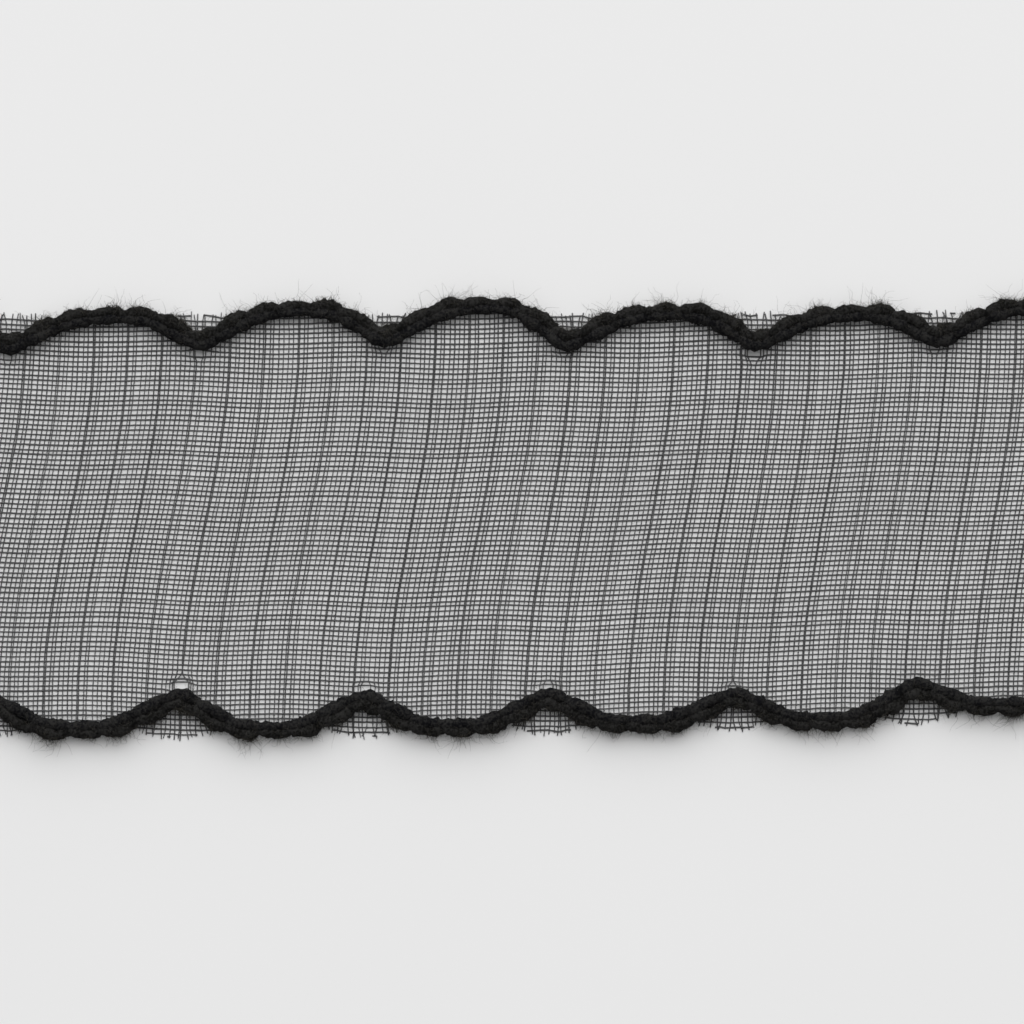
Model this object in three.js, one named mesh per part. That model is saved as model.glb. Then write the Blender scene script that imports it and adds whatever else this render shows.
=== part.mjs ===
// A cut length of sheer organza ribbon with a chain of thick yarn sewn along both edges in scallops.
// Millimetres. X runs along the ribbon, Y across it, Z up from the surface that it lies on.
// The cloth is a closed slab with a flat underside. A thin margin along each of its edges carries the yarn.

import * as THREE from 'three';

// The ribbon's cut length, and how high its cloth stands between the margins and under the yarn
const RIBBON_LENGTH = 95.6;
const CLOTH_HEIGHT = 1.0;
const MARGIN_HEIGHT = 0.35;
const MARGIN_SLOPE_WIDTH = 0.2;

// Shallow swells in the upper face of the cloth: their rise and their length along the ribbon
const SWELL_RISE = 0.07;
const SWELL_LENGTH = 17.0;

// The raw edge wanders in and out by this much, over this length
const RAW_EDGE_WANDER = 0.06;
const RAW_EDGE_WANDER_LENGTH = 4.3;

// The yarn: one chain link's width and height, and how far a link bulges outward, inward and upward
const YARN_WIDTH = 0.86;
const YARN_HEIGHT = 0.82;
const LINK_BULGE_OUTWARD = 0.26;
const LINK_BULGE_INWARD = 0.14;
const LINK_BULGE_UPWARD = 0.2;
const LINKS_PER_SCALLOP = 6;

// Free space between the yarn and the cloth
const CLEARANCE = 0.3;

// A scallop rises from its valley over this share of its length, round a corner this sharp, to its crest
const RISE_SHARE = 0.32;
const CORNER_SHARPNESS = 3;

// Finishes: sheer black cloth as it looks over a white surface, and soft black yarn
const ORGANZA_FINISH = { color: 0x88888a, roughness: 0.6, metalness: 0 };
const YARN_FINISH = { color: 0x1b1b1c, roughness: 0.95, metalness: 0 };

// Facets, the least step at the yarn's ends, and how far to each side its slope is taken
const CLOTH_STATIONS = 126;
const YARN_STEPS_PER_LINK = 4;
const YARN_SIDES = 8;
const END_ROOM = 0.1;
const SLOPE_REACH = 0.2;

// Each edge from left to right, one row for each scallop: the place along the ribbon of the valley where
// it starts, and the distances from the ribbon's middle line to the yarn in that valley, to the yarn on
// the crest after it, and to the cloth's raw edge. The last row only ends the row before it.
const UPPER_EDGE = [
  { valley: -50.2, valleyOut: 10.15, crestOut: 11.7, rawOut: 11.7 },
  { valley: -39.6, valleyOut: 10.1, crestOut: 11.85, rawOut: 11.7 },
  { valley: -28.98, valleyOut: 9.95, crestOut: 11.55, rawOut: 11.65 },
  { valley: -17.94, valleyOut: 10.15, crestOut: 11.95, rawOut: 11.7 },
  { valley: -7.36, valleyOut: 10.38, crestOut: 12.15, rawOut: 11.66 },
  { valley: 3.22, valleyOut: 10.15, crestOut: 11.75, rawOut: 11.65 },
  { valley: 13.97, valleyOut: 10.15, crestOut: 11.68, rawOut: 11.75 },
  { valley: 24.44, valleyOut: 10.4, crestOut: 12.1, rawOut: 11.8 },
  { valley: 35.1, valleyOut: 10.25, crestOut: 11.8, rawOut: 11.7 },
  { valley: 45.7, valleyOut: 10.2, crestOut: 11.8, rawOut: 11.7 },
  { valley: 56.3, valleyOut: 10.2, crestOut: 11.8, rawOut: 11.7 },
];
const LOWER_EDGE = [
  { valley: -50.9, valleyOut: 10.4, crestOut: 12.05, rawOut: 12.45 },
  { valley: -40.4, valleyOut: 10.45, crestOut: 12.1, rawOut: 12.5 },
  { valley: -29.8, valleyOut: 10.45, crestOut: 12.13, rawOut: 12.55 },
  { valley: -19.09, valleyOut: 10.48, crestOut: 12.15, rawOut: 12.6 },
  { valley: -8.51, valleyOut: 10.55, crestOut: 12.0, rawOut: 12.5 },
  { valley: 2.07, valleyOut: 10.42, crestOut: 11.8, rawOut: 12.33 },
  { valley: 12.77, valleyOut: 10.38, crestOut: 11.66, rawOut: 12.1 },
  { valley: 23.23, valleyOut: 9.86, crestOut: 10.8, rawOut: 11.75 },
  { valley: 33.8, valleyOut: 9.95, crestOut: 11.2, rawOut: 11.6 },
  { valley: 44.4, valleyOut: 10.2, crestOut: 11.6, rawOut: 11.8 },
  { valley: 55.0, valleyOut: 10.3, crestOut: 11.8, rawOut: 12.0 },
];

const HALF_YARN_WIDTH = YARN_WIDTH / 2;
const HALF_YARN_HEIGHT = YARN_HEIGHT / 2;
const YARN_MIDDLE_HEIGHT = MARGIN_HEIGHT + CLEARANCE + HALF_YARN_HEIGHT;

// The scallop that holds place x along an edge: its row, the next row, and how far along it x lies (0 to 1).
function scallopAt(edge, x) {
  const index = edge.findIndex((row, i) => i === edge.length - 2 || x < edge[i + 1].valley);
  const row = edge[index];
  const next = edge[index + 1];
  const share = (x - row.valley) / (next.valley - row.valley);
  return { row, next, share: THREE.MathUtils.clamp(share, 0, 1) };
}

// The scallop's profile: 0 in both valleys, a nearly straight rise, a rounded corner and a flat crest near 1.
function crestProfile(share) {
  const climb = Math.min(share, 1 - share) / RISE_SHARE;
  const power = 2 * CORNER_SHARPNESS;
  return climb / Math.pow(1 + Math.pow(climb, power), 1 / power);
}

// Distance of the yarn's middle from the ribbon's middle line
function yarnOut(edge, x) {
  const { row, next, share } = scallopAt(edge, x);
  const valleyOut = THREE.MathUtils.lerp(row.valleyOut, next.valleyOut, share);
  return THREE.MathUtils.lerp(valleyOut, row.crestOut, crestProfile(share));
}

// Distance of the raw edge from the ribbon's middle line, passing evenly from one scallop's value to the next
function rawEdgeOut(edge, x) {
  const { row, next, share } = scallopAt(edge, x);
  const wander = RAW_EDGE_WANDER * Math.sin((2 * Math.PI * x) / RAW_EDGE_WANDER_LENGTH);
  return THREE.MathUtils.lerp(row.rawOut, next.rawOut, share) + wander;
}

// How much wider the yarn measures straight across the ribbon where it runs at a slant
function slantStretch(edge, x) {
  const slope = (yarnOut(edge, x + SLOPE_REACH) - yarnOut(edge, x - SLOPE_REACH)) / (2 * SLOPE_REACH);
  return Math.hypot(1, slope);
}

// Places along the ribbon, from end to end, in equal steps within each scallop so that every valley is one.
// No place is so near an end that it would leave a sliver there.
function yarnPlaces(edge) {
  const steps = LINKS_PER_SCALLOP * YARN_STEPS_PER_LINK;
  const places = [];
  edge.slice(0, -1).forEach((row, i) => {
    for (let step = 0; step < steps; step += 1) {
      places.push(THREE.MathUtils.lerp(row.valley, edge[i + 1].valley, step / steps));
    }
  });
  const end = RIBBON_LENGTH / 2;
  const inside = places.filter((x) => Math.abs(x) < end - END_ROOM);
  return [-end, ...inside, end];
}

// A link's swell at place x: 0 where two links meet, 1 in the middle of a link. One link lies in every valley.
function linkSwell(edge, x) {
  const { share } = scallopAt(edge, x);
  return Math.abs(Math.cos(Math.PI * LINKS_PER_SCALLOP * share));
}

// A closed bar whose rings of points are moved one by one onto the yarn's path. Its ring at each place
// is an ellipse that a link's swell pushes outward, upward and, less, inward. Its underside stays level.
function yarnEdging(name, edge, side) {
  const places = yarnPlaces(edge);
  const bar = new THREE.CylinderGeometry(1, 1, 1, YARN_SIDES, places.length - 1);
  const point = new THREE.Vector3();
  const positions = bar.getAttribute('position');
  for (let i = 0; i < positions.count; i += 1) {
    point.fromBufferAttribute(positions, i);
    const x = places[Math.round((0.5 - point.y) * (places.length - 1))];
    const swell = linkSwell(edge, x);
    const outward = point.x > 0 ? LINK_BULGE_OUTWARD : LINK_BULGE_INWARD;
    const upward = point.z > 0 ? LINK_BULGE_UPWARD : 0;
    const halfWidth = (HALF_YARN_WIDTH + outward * swell) * slantStretch(edge, x);
    const y = yarnOut(edge, x) + point.x * halfWidth;
    const z = YARN_MIDDLE_HEIGHT + point.z * (HALF_YARN_HEIGHT + upward * swell);
    positions.setXYZ(i, x, side * y, z);
  }
  return namedMesh(name, facingOut(bar, side), YARN_FINISH);
}

// The cloth's height at a place between its margins: the full height with shallow swells
function clothHeight(x, across) {
  const along = (2 * Math.PI * x) / SWELL_LENGTH;
  return CLOTH_HEIGHT + SWELL_RISE * Math.sin(along + across) * Math.cos(Math.PI * across);
}

// One row of the slab's points for each line along the ribbon, from the lower raw edge to the upper one:
// which edge the line follows, how far inside that edge's yarn it runs, and how high it stands.
// A line with a share runs between the two edges' yarn, at that share of the way across.
const CLOTH_LINES = [
  { edge: LOWER_EDGE, side: -1, follows: 'raw', height: MARGIN_HEIGHT },
  { edge: LOWER_EDGE, side: -1, follows: 'yarn', inside: 0, height: MARGIN_HEIGHT },
  { edge: LOWER_EDGE, side: -1, follows: 'yarn', inside: MARGIN_SLOPE_WIDTH, height: CLOTH_HEIGHT },
  { share: 0.35 },
  { share: 0.65 },
  { edge: UPPER_EDGE, side: 1, follows: 'yarn', inside: MARGIN_SLOPE_WIDTH, height: CLOTH_HEIGHT },
  { edge: UPPER_EDGE, side: 1, follows: 'yarn', inside: 0, height: MARGIN_HEIGHT },
  { edge: UPPER_EDGE, side: 1, follows: 'raw', height: MARGIN_HEIGHT },
];

// Where the margin starts at place x: inside the yarn's innermost reach within half a facet to each side
function marginInner(edge, x) {
  const halfFacet = RIBBON_LENGTH / CLOTH_STATIONS / 2;
  const near = [-1, -0.5, 0, 0.5, 1].map((step) => yarnOut(edge, x + step * halfFacet));
  const widest = (HALF_YARN_WIDTH + LINK_BULGE_INWARD) * slantStretch(edge, x);
  return Math.min(...near) - widest - CLEARANCE;
}

// The place across the ribbon and the height of one line of the slab at place x
function clothPoint(line, x) {
  if (line.share !== undefined) {
    const lower = -marginInner(LOWER_EDGE, x);
    const upper = marginInner(UPPER_EDGE, x);
    return { y: THREE.MathUtils.lerp(lower, upper, line.share), z: clothHeight(x, line.share) };
  }
  const out = line.follows === 'raw'
    ? rawEdgeOut(line.edge, x)
    : marginInner(line.edge, x) - line.inside;
  return { y: line.side * out, z: line.height };
}

// A closed box whose grid of points is moved onto the cloth's lines. All points of the lower face lie at Z = 0.
function organzaStrip() {
  const lineCount = CLOTH_LINES.length - 1;
  const slab = new THREE.BoxGeometry(1, 1, 1, CLOTH_STATIONS, lineCount, 1);
  const point = new THREE.Vector3();
  const positions = slab.getAttribute('position');
  for (let i = 0; i < positions.count; i += 1) {
    point.fromBufferAttribute(positions, i);
    const x = point.x * RIBBON_LENGTH;
    const line = CLOTH_LINES[Math.round((point.y + 0.5) * lineCount)];
    const { y, z } = clothPoint(line, x);
    positions.setXYZ(i, x, y, point.z > 0 ? z : 0);
  }
  return namedMesh('organza_strip', slab, ORGANZA_FINISH);
}

// Turns a bar's triangles round where its points were placed on the mirrored side of the ribbon.
function facingOut(geometry, side) {
  if (side < 0) {
    const index = geometry.getIndex();
    for (let i = 0; i < index.count; i += 3) {
      const second = index.getX(i + 1);
      index.setX(i + 1, index.getX(i + 2));
      index.setX(i + 2, second);
    }
  }
  return geometry;
}

function namedMesh(name, geometry, finish) {
  geometry.computeVertexNormals();
  const mesh = new THREE.Mesh(geometry, new THREE.MeshStandardMaterial(finish));
  mesh.name = name;
  return mesh;
}

const ribbon = new THREE.Group();
ribbon.add(organzaStrip());
ribbon.add(yarnEdging('upper_yarn_edging', UPPER_EDGE, 1));
ribbon.add(yarnEdging('lower_yarn_edging', LOWER_EDGE, -1));

export default ribbon;
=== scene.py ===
"""A cut length of scallop-edged organza ribbon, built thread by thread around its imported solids.

The cloth is a plain weave of single threads, in three panels that each end where the next one's first
crosswise thread lies. Along both its edges runs a chain of thick yarn with its fuzz. Sizes of the ribbon are
millimetres in the frame of the solids, X along the ribbon, Y across it and Z up, and become metres where a
mesh is written. Sizes of the studio and of bumps are metres.
"""

import logging
from dataclasses import dataclass
from enum import Enum

import bpy
import numpy as np
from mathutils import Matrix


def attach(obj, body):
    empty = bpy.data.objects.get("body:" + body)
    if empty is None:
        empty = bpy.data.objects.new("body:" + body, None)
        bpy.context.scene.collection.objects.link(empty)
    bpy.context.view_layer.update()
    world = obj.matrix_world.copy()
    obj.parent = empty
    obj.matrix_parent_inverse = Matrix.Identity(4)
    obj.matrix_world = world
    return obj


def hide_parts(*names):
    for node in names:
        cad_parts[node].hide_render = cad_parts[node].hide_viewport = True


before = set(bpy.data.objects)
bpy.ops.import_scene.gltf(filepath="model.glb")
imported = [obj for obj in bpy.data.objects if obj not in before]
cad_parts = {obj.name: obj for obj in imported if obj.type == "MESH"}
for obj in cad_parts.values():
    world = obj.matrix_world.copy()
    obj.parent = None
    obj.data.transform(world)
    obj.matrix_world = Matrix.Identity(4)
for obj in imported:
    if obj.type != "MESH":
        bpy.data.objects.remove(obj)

LOG = logging.getLogger("ribbon")
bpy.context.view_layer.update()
MILLIMETRE = 0.001
TINY = 1e-9
TINT_LAYER = "outer_share"
UV_LAYER = "OFBake"

# Margin to each side of a tube's strip in the UV square, and the small spot of all closing faces
UV_MARGIN = 0.05
CAP_PLACE = 0.0005
CAP_RADIUS = 0.0004

# The ribbon, and how far past its ends a leaning crosswise thread may start
RIBBON_LENGTH = 95.6
RIBBON_END = RIBBON_LENGTH / 2
LEAN_ROOM = 4.0


class Side(Enum):
    """The ribbon's two edges, with the direction from its middle line to each."""

    UPPER = 1
    LOWER = -1

    @property
    def word(self) -> str:
        """The edge's word in the names of its pieces."""
        return self.name.lower()

    @property
    def node(self) -> str:
        """Name of the edge's solid."""
        return f"{self.word}_yarn_edging"


class Slot(Enum):
    """The record's material slots."""

    ORGANZA = "organza"
    YARN = "edging_yarn"


@dataclass(frozen=True)
class Scallop:
    """One scallop of an edge and the valley it starts from.

    The valley's place is along the ribbon. The yarn's valley and crest and the raw edge are distances
    from the ribbon's middle line. The hole says how far the needle hole inside the valley pushes the
    crosswise threads beside it to each side.
    """

    valley: float
    valley_out: float
    crest_out: float
    raw_out: float
    hole: float


UPPER_SCALLOPS = (
    Scallop(valley=-50.2, valley_out=10.07, crest_out=11.8, raw_out=11.7, hole=0.2),
    Scallop(valley=-39.6, valley_out=10.02, crest_out=11.95, raw_out=11.7, hole=0.22),
    Scallop(valley=-28.98, valley_out=9.87, crest_out=11.65, raw_out=11.65, hole=0.2),
    Scallop(valley=-17.94, valley_out=10.07, crest_out=12.05, raw_out=11.7, hole=0.2),
    Scallop(valley=-7.36, valley_out=10.3, crest_out=12.25, raw_out=11.66, hole=0.28),
    Scallop(valley=3.05, valley_out=10.07, crest_out=11.85, raw_out=11.65, hole=0.24),
    Scallop(valley=13.97, valley_out=10.07, crest_out=11.78, raw_out=11.75, hole=0.36),
    Scallop(valley=24.44, valley_out=10.32, crest_out=12.2, raw_out=11.8, hole=0.28),
    Scallop(valley=35.1, valley_out=10.17, crest_out=11.9, raw_out=11.7, hole=0.26),
    Scallop(valley=45.7, valley_out=10.12, crest_out=11.9, raw_out=11.7, hole=0.22),
    Scallop(valley=56.3, valley_out=10.12, crest_out=11.9, raw_out=11.7, hole=0.2),
)
LOWER_SCALLOPS = (
    Scallop(valley=-50.9, valley_out=10.2, crest_out=12.05, raw_out=12.45, hole=0.2),
    Scallop(valley=-40.4, valley_out=10.25, crest_out=12.1, raw_out=12.5, hole=0.28),
    Scallop(valley=-30.4, valley_out=10.25, crest_out=12.13, raw_out=12.55, hole=0.26),
    Scallop(valley=-19.09, valley_out=10.28, crest_out=12.15, raw_out=12.6, hole=0.45),
    Scallop(valley=-8.51, valley_out=10.35, crest_out=12.0, raw_out=12.5, hole=0.26),
    Scallop(valley=2.07, valley_out=10.22, crest_out=11.8, raw_out=12.33, hole=0.26),
    Scallop(valley=12.77, valley_out=10.18, crest_out=11.66, raw_out=12.1, hole=0.26),
    Scallop(valley=23.23, valley_out=9.66, crest_out=10.8, raw_out=11.75, hole=0.1),
    Scallop(valley=33.8, valley_out=9.75, crest_out=11.2, raw_out=11.6, hole=0.28),
    Scallop(valley=44.4, valley_out=10.0, crest_out=11.6, raw_out=11.8, hole=0.22),
    Scallop(valley=55.0, valley_out=10.1, crest_out=11.8, raw_out=12.0, hole=0.2),
)


class Waves:
    """Smooth seeded unevenness over a line, a plane or a strand, between about -1 and 1.

    The heights of all waves add up to LEVEL. A wave's length is the usual one times a number drawn from
    SPREAD. Round a strand the waves have 0 to LOBES - 1 lobes in turn.
    """

    LEVEL = 1.4
    SPREAD = (0.6, 1.7)
    LOBES = 6

    def __init__(self, seed: int, length: float, count: int = 6) -> None:
        """Draws the waves.

        Args:
            seed: Seed of the draw.
            length: Usual length of one wave.
            count: Number of waves that are added.
        """
        draw = np.random.default_rng(seed)
        turn = draw.uniform(0, 2 * np.pi, count)
        self.pace = 2 * np.pi / (length * draw.uniform(*self.SPREAD, count))
        self.along = self.pace * np.cos(turn)
        self.across = self.pace * np.sin(turn)
        self.phase = draw.uniform(0, 2 * np.pi, count)
        self.share = self.LEVEL / count

    def line(self, at: np.ndarray) -> np.ndarray:
        """The sum of the sine waves at places on a line.

        Args:
            at: Places, of any shape.

        Returns:
            One value for each place.
        """
        return self.share * np.sin(at[..., None] * self.pace + self.phase).sum(-1)

    def plane(self, x: np.ndarray, y: np.ndarray) -> np.ndarray:
        """The sum of the sine waves, each running its own way, at places on a plane.

        Args:
            x: Places along X.
            y: Places along Y, of the same shape.

        Returns:
            One value for each place.
        """
        phase = x[..., None] * self.along + y[..., None] * self.across + self.phase
        return self.share * np.sin(phase).sum(-1)

    def strand(self, length: np.ndarray, angle: np.ndarray) -> np.ndarray:
        """The sum of the waves on a strand's surface, each with a whole number of lobes round it.

        Args:
            length: Places along the strand.
            angle: Angles round it, of a shape that fits.

        Returns:
            One value for each place.
        """
        lobes = np.arange(len(self.pace)) % self.LOBES
        phase = length[..., None] * self.pace + angle[..., None] * lobes + self.phase
        return self.share * np.sin(phase).sum(-1)


@dataclass
class Edge:
    """The course of one scalloped edge: its yarn, its valleys and the cloth's raw edge.

    A scallop rises over rise_share of its length and falls over fall_share. Its crest climbs by
    crest_tilt towards the next valley, and corner_sharpness says how abruptly a slope ends there.
    Halfway between two valleys the raw edge lies raw_bend further in. The lengthwise threads are drawn
    outward by valley_pull at the valleys, and inward by as much between them.
    """

    side: Side
    scallops: tuple[Scallop, ...]
    rise_share: float
    fall_share: float
    crest_tilt: float
    corner_sharpness: float
    raw_bend: float
    valley_pull: float
    links_per_scallop: int = 6
    rounding: float = 0.2
    rounding_reach: int = 4
    step: float = 0.04

    def __post_init__(self) -> None:
        """Works out the yarn's course once, with its valleys rounded by a mean with bell weights."""
        self.valleys = np.array([row.valley for row in self.scallops])
        self.valley_out = np.array([row.valley_out for row in self.scallops])
        self.crest_out = np.array([row.crest_out for row in self.scallops])
        self.raw_out = np.array([row.raw_out for row in self.scallops])
        self.x = np.arange(self.valleys[0], self.valleys[-1], self.step)
        bell = np.arange(-self.rounding_reach * self.rounding, self.rounding_reach * self.rounding, self.step)
        weight = np.exp(-((bell / self.rounding) ** 2))
        before = len(bell) // 2
        after = len(bell) - before - 1
        sharp = np.pad(self.sharp_out(self.x), (before, after), "edge")
        self.out = np.convolve(sharp, weight / weight.sum(), "valid")
        self.slopes = np.gradient(self.out, self.step)

    def share(self, x: np.ndarray) -> np.ndarray:
        """How many scallops, with parts of one, lie between the first valley and each place."""
        return np.interp(x, self.valleys, np.arange(len(self.valleys)))

    def sharp_out(self, x: np.ndarray) -> np.ndarray:
        """Distance of the yarn from the middle line before its valleys are rounded.

        With c as the climb, 0 at a valley and 1 where its slope ends, and k as the corner sharpness,
        c / (1 + c^(2k))^(1/(2k)) bends the climb into a flat crest.

        Args:
            x: Places along the ribbon.

        Returns:
            Distances from the middle line.
        """
        share = self.share(x)
        index = np.minimum(share.astype(int), len(self.valleys) - 2)
        part = share - index
        climb = np.minimum(part / self.rise_share, (1 - part) / self.fall_share)
        power = 2 * self.corner_sharpness
        crest = climb / (1 + climb**power) ** (1 / power)
        base = self.valley_out[index] * (1 - part) + self.valley_out[index + 1] * part
        tilt = self.crest_tilt * (part - 0.5)
        return base + (self.crest_out[index] + tilt - base) * crest

    def yarn_out(self, x: np.ndarray) -> np.ndarray:
        """Distance of the yarn's middle from the ribbon's middle line at each place."""
        return np.interp(x, self.x, self.out)

    def raw_edge(self, x: np.ndarray) -> np.ndarray:
        """Distance of the cloth's raw edge from the ribbon's middle line.

        It is furthest out at the valleys. Between them it bends inward by a sine squared, but never
        further in than the yarn's middle.

        Args:
            x: Places along the ribbon.

        Returns:
            Distances from the middle line.
        """
        bend = self.raw_bend * np.sin(np.pi * self.share(x)) ** 2
        return np.maximum(np.interp(x, self.valleys, self.raw_out) - bend, self.yarn_out(x))

    def link_place(self, link: np.ndarray) -> np.ndarray:
        """Place along the ribbon that lies a number of chain links from the first valley."""
        return np.interp(link / self.links_per_scallop, np.arange(len(self.valleys)), self.valleys)

    def slope(self, link: np.ndarray) -> np.ndarray:
        """Slope of the yarn's course a number of chain links from the first valley."""
        return np.interp(self.link_place(link), self.x, self.slopes)

    def beside(self, link: np.ndarray, outward: np.ndarray) -> tuple[np.ndarray, np.ndarray]:
        """Places beside the yarn's course: along it by links, and square to it by an outward distance.

        Args:
            link: Number of chain links from the first valley, with parts of a link.
            outward: Distance from the yarn's course, positive away from the cloth.

        Returns:
            X and Y of each place.
        """
        x = self.link_place(link)
        slope = self.slope(link)
        steep = np.hypot(1, slope)
        y = self.yarn_out(x) + outward / steep
        return x - outward * slope / steep, self.side.value * y


class Wire:
    """An output socket of a shader's nodes, with the arithmetic that adds Math nodes to it."""

    def __init__(self, nodes: "Nodes", socket: bpy.types.NodeSocket) -> None:
        """Keeps the socket and the nodes it belongs to."""
        self.nodes = nodes
        self.socket = socket

    def __add__(self, other: "Wire | float") -> "Wire":
        """The sum of two values."""
        return self.nodes.math("ADD", self, other)

    def __sub__(self, other: "Wire | float") -> "Wire":
        """The difference of two values."""
        return self.nodes.math("SUBTRACT", self, other)

    def __rsub__(self, other: float) -> "Wire":
        """The difference of a number and this value."""
        return self.nodes.math("SUBTRACT", other, self)

    def __mul__(self, other: "Wire | float") -> "Wire":
        """The product of two values."""
        return self.nodes.math("MULTIPLY", self, other)

    __radd__ = __add__
    __rmul__ = __mul__


class Nodes:
    """The node tree of one material, built from plain calls."""

    def __init__(self, name: str) -> None:
        """Makes an empty material.

        Args:
            name: The material's name.
        """
        self.material = bpy.data.materials.new(name)
        self.material.use_nodes = True
        self.tree = self.material.node_tree
        self.tree.nodes.clear()

    def node(self, kind: str, settings: dict[str, object], inputs: dict[str, object]) -> bpy.types.Node:
        """Adds one node.

        Args:
            kind: The node's type.
            settings: Its own settings, set before its sockets.
            inputs: Values or wires for its sockets, by socket identifier.

        Returns:
            The new node.
        """
        node = self.tree.nodes.new(kind)
        for name, value in settings.items():
            setattr(node, name, value)
        sockets = {socket.identifier: socket for socket in node.inputs}
        for name, value in inputs.items():
            if isinstance(value, Wire):
                self.tree.links.new(value.socket, sockets[name])
            else:
                sockets[name].default_value = value
        return node

    def wire(self, kind: str, settings: dict[str, object], inputs: dict[str, object], output: str) -> Wire:
        """Adds one node and gives one of its outputs.

        Args:
            kind: The node's type.
            settings: Its own settings.
            inputs: Values or wires for its sockets.
            output: Identifier of the output that is used.

        Returns:
            That output.
        """
        node = self.node(kind, settings, inputs)
        return Wire(self, next(socket for socket in node.outputs if socket.identifier == output))

    def math(self, operation: str, first: "Wire | float", second: "Wire | float") -> Wire:
        """A Math node on two values."""
        inputs = {"Value": first, "Value_001": second}
        return self.wire("ShaderNodeMath", {"operation": operation}, inputs, "Value")

    def attribute(self, name: str) -> Wire:
        """A value that the mesh carries at each of its points."""
        return self.wire("ShaderNodeAttribute", {"attribute_name": name}, {}, "Fac")

    def noise(self, scale: float, detail: float = 2.0) -> Wire:
        """Soft noise on object coordinates.

        Args:
            scale: Number of spots in one metre.
            detail: Number of finer layers.

        Returns:
            Values between 0 and 1.
        """
        place = self.wire("ShaderNodeTexCoord", {}, {}, "Object")
        inputs = {"Vector": place, "Scale": scale, "Detail": detail}
        return self.wire("ShaderNodeTexNoise", {}, inputs, "Fac")

    def mix(self, share: Wire, first: "Wire | tuple[float, ...]", second: "Wire | tuple[float, ...]") -> Wire:
        """A colour between two colours.

        Args:
            share: Share of the second colour.
            first: Colour where the share is 0.
            second: Colour where the share is 1.

        Returns:
            The mixed colour.
        """
        inputs = {"Factor_Float": share, "A_Color": first, "B_Color": second}
        return self.wire("ShaderNodeMix", {"data_type": "RGBA"}, inputs, "Result_Color")

    def bump(self, height: Wire, distance: float, strength: float) -> Wire:
        """A normal bent by a height.

        Args:
            height: Height between 0 and 1.
            distance: Height in metres that 1 stands for.
            strength: How strongly the normal is bent.

        Returns:
            The bent normal.
        """
        inputs = {"Strength": strength, "Distance": distance, "Height": height}
        return self.wire("ShaderNodeBump", {}, inputs, "Normal")

    def surface(self, inputs: dict[str, object]) -> bpy.types.Material:
        """Ends the material in a Principled surface.

        Args:
            inputs: Values or wires for the surface's sockets.

        Returns:
            The finished material.
        """
        shader = self.wire("ShaderNodeBsdfPrincipled", {}, inputs, "BSDF")
        self.node("ShaderNodeOutputMaterial", {}, {"Surface": shader})
        return self.material


@dataclass(frozen=True)
class FilamentFinish:
    """Smooth black polyester filament: dark, with a faint gleam that changes from place to place."""

    dark: tuple[float, ...] = (0.032, 0.032, 0.033, 1)
    light: tuple[float, ...] = (0.105, 0.105, 0.107, 1)
    patches_per_metre: float = 900.0
    ripples_per_metre: float = 9000.0
    ripple_depth: float = 0.00001
    least_roughness: float = 0.4
    roughness_range: float = 0.25

    def build(self) -> bpy.types.Material:
        """Colour and roughness from soft patches, and a fine ripple of the filaments as bump.

        Returns:
            The finished material.
        """
        nodes = Nodes("black filament thread")
        patch = nodes.noise(self.patches_per_metre)
        ripple = nodes.noise(self.ripples_per_metre, detail=1.0)
        colour = nodes.mix(patch, self.dark, self.light)
        roughness = self.least_roughness + self.roughness_range * patch
        normal = nodes.bump(ripple, self.ripple_depth, strength=0.3)
        return nodes.surface({"Base Color": colour, "Roughness": roughness, "Normal": normal})


@dataclass(frozen=True)
class YarnFinish:
    """Soft black spun yarn: matte, cooler on the cloth's side and warmer outside, with paler fibres.

    Where patch_share of the patches' noise plus the fibres' noise passes pale_level, the colour turns
    pale, and the more suddenly the higher pale_contrast is.
    """

    inner: tuple[float, ...] = (0.0035, 0.0035, 0.0045, 1)
    outer: tuple[float, ...] = (0.0045, 0.0043, 0.0038, 1)
    pale: tuple[float, ...] = (0.0195, 0.019, 0.0185, 1)
    patches_per_metre: float = 1400.0
    patch_share: float = 0.5
    pale_level: float = 0.62
    pale_contrast: float = 4.0
    fibres_per_metre: float = 7000.0
    fibre_depth: float = 0.00004
    least_roughness: float = 0.8
    roughness_range: float = 0.18
    gleam: float = 0.05
    sheen: float = 0.02

    def build(self) -> bpy.types.Material:
        """Colour from the side and from patches plus fibres, and bump from the fibres.

        Returns:
            The finished material.
        """
        nodes = Nodes("black spun yarn")
        patch = nodes.noise(self.patches_per_metre)
        fibre = nodes.noise(self.fibres_per_metre, detail=3.0)
        deep = nodes.mix(nodes.attribute(TINT_LAYER), self.inner, self.outer)
        paleness = (patch * self.patch_share + fibre - self.pale_level) * self.pale_contrast
        colour = nodes.mix(paleness, deep, self.pale)
        roughness = self.least_roughness + self.roughness_range * fibre
        normal = nodes.bump(fibre, self.fibre_depth, strength=0.8)
        inputs = {"Base Color": colour, "Roughness": roughness, "Normal": normal}
        return nodes.surface({**inputs, "Specular IOR Level": self.gleam, "Sheen Weight": self.sheen})


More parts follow.
